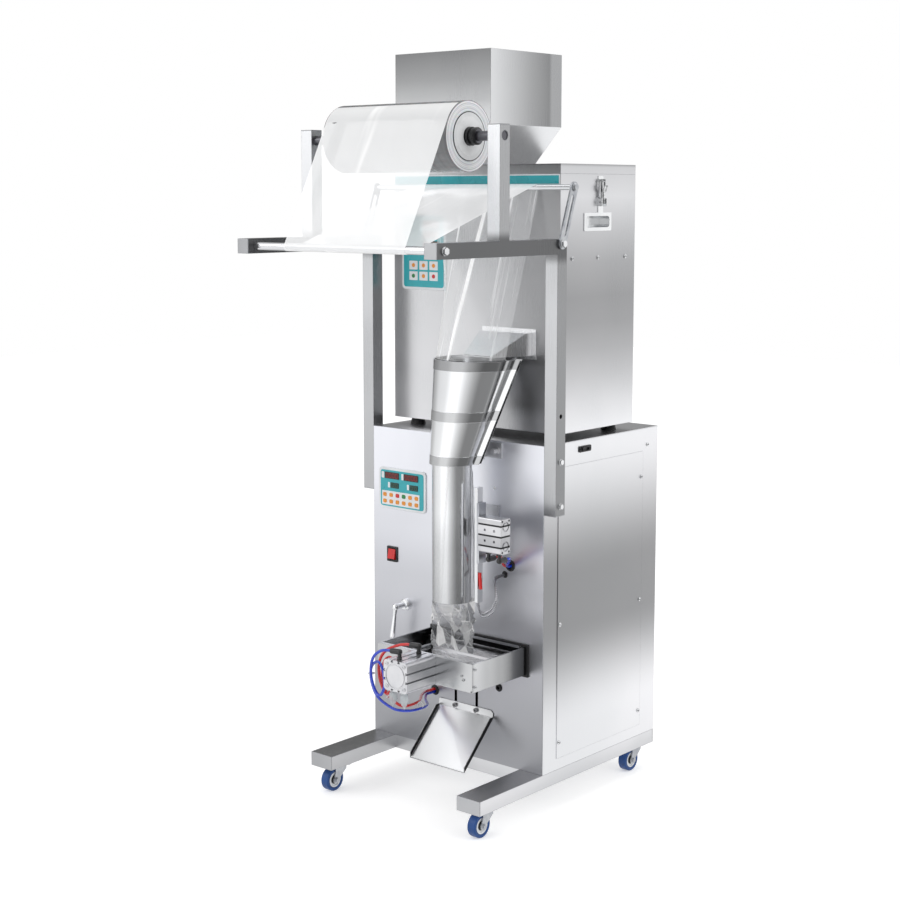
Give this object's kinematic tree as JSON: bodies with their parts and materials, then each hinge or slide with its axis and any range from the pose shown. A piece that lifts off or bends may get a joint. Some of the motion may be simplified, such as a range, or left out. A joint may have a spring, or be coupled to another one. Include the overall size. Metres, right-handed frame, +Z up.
{
  "type": "pneumatic packaging machine",
  "caption": "Floor-standing pneumatic filling and sealing machine with a weighing feeder, film stand, forming collar, sealing jaws and discharge chute.",
  "frame": {"origin": "middle of the outline, on the floor under the wheels", "axes": "+Z up, -Y towards the operator in front of the machine, +X to the operator's right"},
  "size_m": [0.5546, 0.786, 1.583],
  "materials": {
    "brushed_stainless": "fine brushed stainless sheet",
    "polished_steel": "polished",
    "zinc_steel": "bright zinc",
    "aluminium": "satin anodised",
    "black_rubber": "matte",
    "tread_and_hub": "blue tread on a white hub",
    "white_plastic": "satin",
    "black_plastic": "satin",
    "teal_panel": "printed overlay, satin",
    "red_plastic": "gloss",
    "clear_film": "clear glossy film",
    "cardboard": "plain board",
    "hose": "red and blue tube"
  },
  "bodies": {
    "frame": {"base_rails": "brushed_stainless", "tube_caps": "brushed_stainless", "caster_plates": "zinc_steel", "cabinet_frame": "brushed_stainless", "front_panel": "brushed_stainless", "side_covers": "brushed_stainless", "rear_cover": "brushed_stainless", "fasteners": "zinc_steel", "control_panels": "teal_panel", "switch_bezel": "black_plastic", "lever_rose": "polished_steel", "rubber_grommets": "black_rubber", "connectors": "black_plastic", "weigher_feet": "black_rubber", "weigher_case": "brushed_stainless", "weigher_lid": "brushed_stainless", "case_hardware": "polished_steel", "hopper": "brushed_stainless", "feeder_drive": "zinc_steel", "weigh_bucket": "brushed_stainless", "load_cell": "aluminium", "outlet_spout": "brushed_stainless", "film_frame": "brushed_stainless", "forming_collar": "polished_steel", "filling_tube": "polished_steel", "former_bracket": "aluminium", "film_web": "clear_film", "bag_tube": "clear_film", "twin_rod_cylinder": "aluminium", "jaw_frame": "aluminium", "jaw_cylinders": "aluminium", "air_fittings": "black_plastic", "air_hoses": "hose", "air_valves": "black_plastic"},
    "swivel_front_left": {"fork_front_left": "zinc_steel"},
    "swivel_front_right": {"fork_front_right": "zinc_steel"},
    "swivel_rear_left": {"fork_rear_left": "zinc_steel"},
    "swivel_rear_right": {"fork_rear_right": "zinc_steel"},
    "roller_front_left": {"wheel_front_left": "tread_and_hub"},
    "roller_front_right": {"wheel_front_right": "tread_and_hub"},
    "roller_rear_left": {"wheel_rear_left": "tread_and_hub"},
    "roller_rear_right": {"wheel_rear_right": "tread_and_hub"},
    "rocker": {"rocker_switch": "red_plastic"},
    "handle": {"lever": "polished_steel"},
    "catch_left": {"latch_left": "polished_steel"},
    "catch_right": {"latch_right": "polished_steel"},
    "tray": {"feeder_tray": "brushed_stainless"},
    "gate": {"bucket_gate": "brushed_stainless"},
    "roll": {"roll_shaft": "zinc_steel", "film_core": "cardboard", "film_roll": "clear_film"},
    "guide": {"guide_roller": "polished_steel"},
    "dancer": {"dancer_arms": "brushed_stainless"},
    "dancer_rod": {"dancer_roller": "polished_steel"},
    "sealer": {"seal_carriage": "aluminium", "seal_bar": "white_plastic"},
    "jaw_front": {"front_jaw": "aluminium"},
    "jaw_rear": {"rear_jaw": "aluminium"},
    "chute": {"discharge_chute": "brushed_stainless", "chute_screws": "zinc_steel"}
  },
  "joints": [
    {"name": "swivel_front_left", "type": "hinge", "parent": "frame", "child": "swivel_front_left", "pos_m": [-0.2065, -0.183, 0.05], "axis": [0, 0, 1], "continuous": true},
    {"name": "wheel_front_left", "type": "hinge", "parent": "swivel_front_left", "child": "roller_front_left", "pos_m": [-0.2065, -0.197, 0.025], "axis": [1, 0, 0], "continuous": true},
    {"name": "swivel_front_right", "type": "hinge", "parent": "frame", "child": "swivel_front_right", "pos_m": [0.2065, -0.183, 0.05], "axis": [0, 0, 1], "continuous": true},
    {"name": "wheel_front_right", "type": "hinge", "parent": "swivel_front_right", "child": "roller_front_right", "pos_m": [0.2065, -0.197, 0.025], "axis": [1, 0, 0], "continuous": true},
    {"name": "swivel_rear_left", "type": "hinge", "parent": "frame", "child": "swivel_rear_left", "pos_m": [-0.2065, 0.342, 0.05], "axis": [0, 0, 1], "continuous": true},
    {"name": "wheel_rear_left", "type": "hinge", "parent": "swivel_rear_left", "child": "roller_rear_left", "pos_m": [-0.2065, 0.328, 0.025], "axis": [1, 0, 0], "continuous": true},
    {"name": "swivel_rear_right", "type": "hinge", "parent": "frame", "child": "swivel_rear_right", "pos_m": [0.2065, 0.342, 0.05], "axis": [0, 0, 1], "continuous": true},
    {"name": "wheel_rear_right", "type": "hinge", "parent": "swivel_rear_right", "child": "roller_rear_right", "pos_m": [0.2065, 0.328, 0.025], "axis": [1, 0, 0], "continuous": true},
    {"name": "rocker_tilt", "type": "hinge", "parent": "frame", "child": "rocker", "pos_m": [-0.181, -0.0295, 0.498], "axis": [1, 0, 0], "range_deg": [0, 22]},
    {"name": "lever_turn", "type": "hinge", "parent": "frame", "child": "handle", "pos_m": [-0.142, -0.045, 0.391], "axis": [0, 1, 0], "range_deg": [0, 82]},
    {"name": "latch_right_lift", "type": "hinge", "parent": "frame", "child": "catch_right", "pos_m": [0.234, 0.169, 1.267], "axis": [0, 1, 0], "range_deg": [0, 150]},
    {"name": "latch_left_lift", "type": "hinge", "parent": "frame", "child": "catch_left", "pos_m": [-0.234, 0.169, 1.267], "axis": [0, -1, 0], "range_deg": [0, 150]},
    {"name": "tray_shake", "type": "slide", "parent": "frame", "child": "tray", "axis": [1, 0, 0], "range_m": [-0.001, 0.001], "stiffness_N_per_m": 20000},
    {"name": "gate_drop", "type": "hinge", "parent": "frame", "child": "gate", "pos_m": [0.096, 0.164, 1.115], "axis": [0, 1, 0], "range_deg": [0, 60], "stiffness_Nm_per_rad": 0.5},
    {"name": "roll_turn", "type": "hinge", "parent": "frame", "child": "roll", "pos_m": [0.014, -0.196, 1.394], "axis": [1, 0, 0], "continuous": true},
    {"name": "guide_turn", "type": "hinge", "parent": "frame", "child": "guide", "pos_m": [0, -0.37, 1.18], "axis": [1, 0, 0], "continuous": true},
    {"name": "dancer_swing", "type": "hinge", "parent": "frame", "child": "dancer", "pos_m": [0, -0.017, 1.186], "axis": [1, 0, 0], "range_deg": [0, 30], "deforming": ["film_web"]},
    {"name": "dancer_roller_turn", "type": "hinge", "parent": "dancer", "child": "dancer_rod", "pos_m": [0, 0.02142, 1.29757], "axis": [1, 0, 0], "continuous": true},
    {"name": "sealer_press", "type": "slide", "parent": "frame", "child": "sealer", "axis": [-1, 0, 0], "range_m": [0, 0.022]},
    {"name": "jaw_front_close", "type": "slide", "parent": "frame", "child": "jaw_front", "axis": [0, 1, 0], "range_m": [0, 0.0397]},
    {"name": "jaw_rear_close", "type": "slide", "parent": "frame", "child": "jaw_rear", "axis": [0, -1, 0], "range_m": [0, 0.0397]},
    {"name": "chute_height", "type": "slide", "parent": "frame", "child": "chute", "axis": [0, 0, 1], "range_m": [0, 0.045]}
  ],
  "couplings": [
    {"joint": "jaw_rear_close", "follows": "jaw_front_close", "ratio": 1}
  ]
}
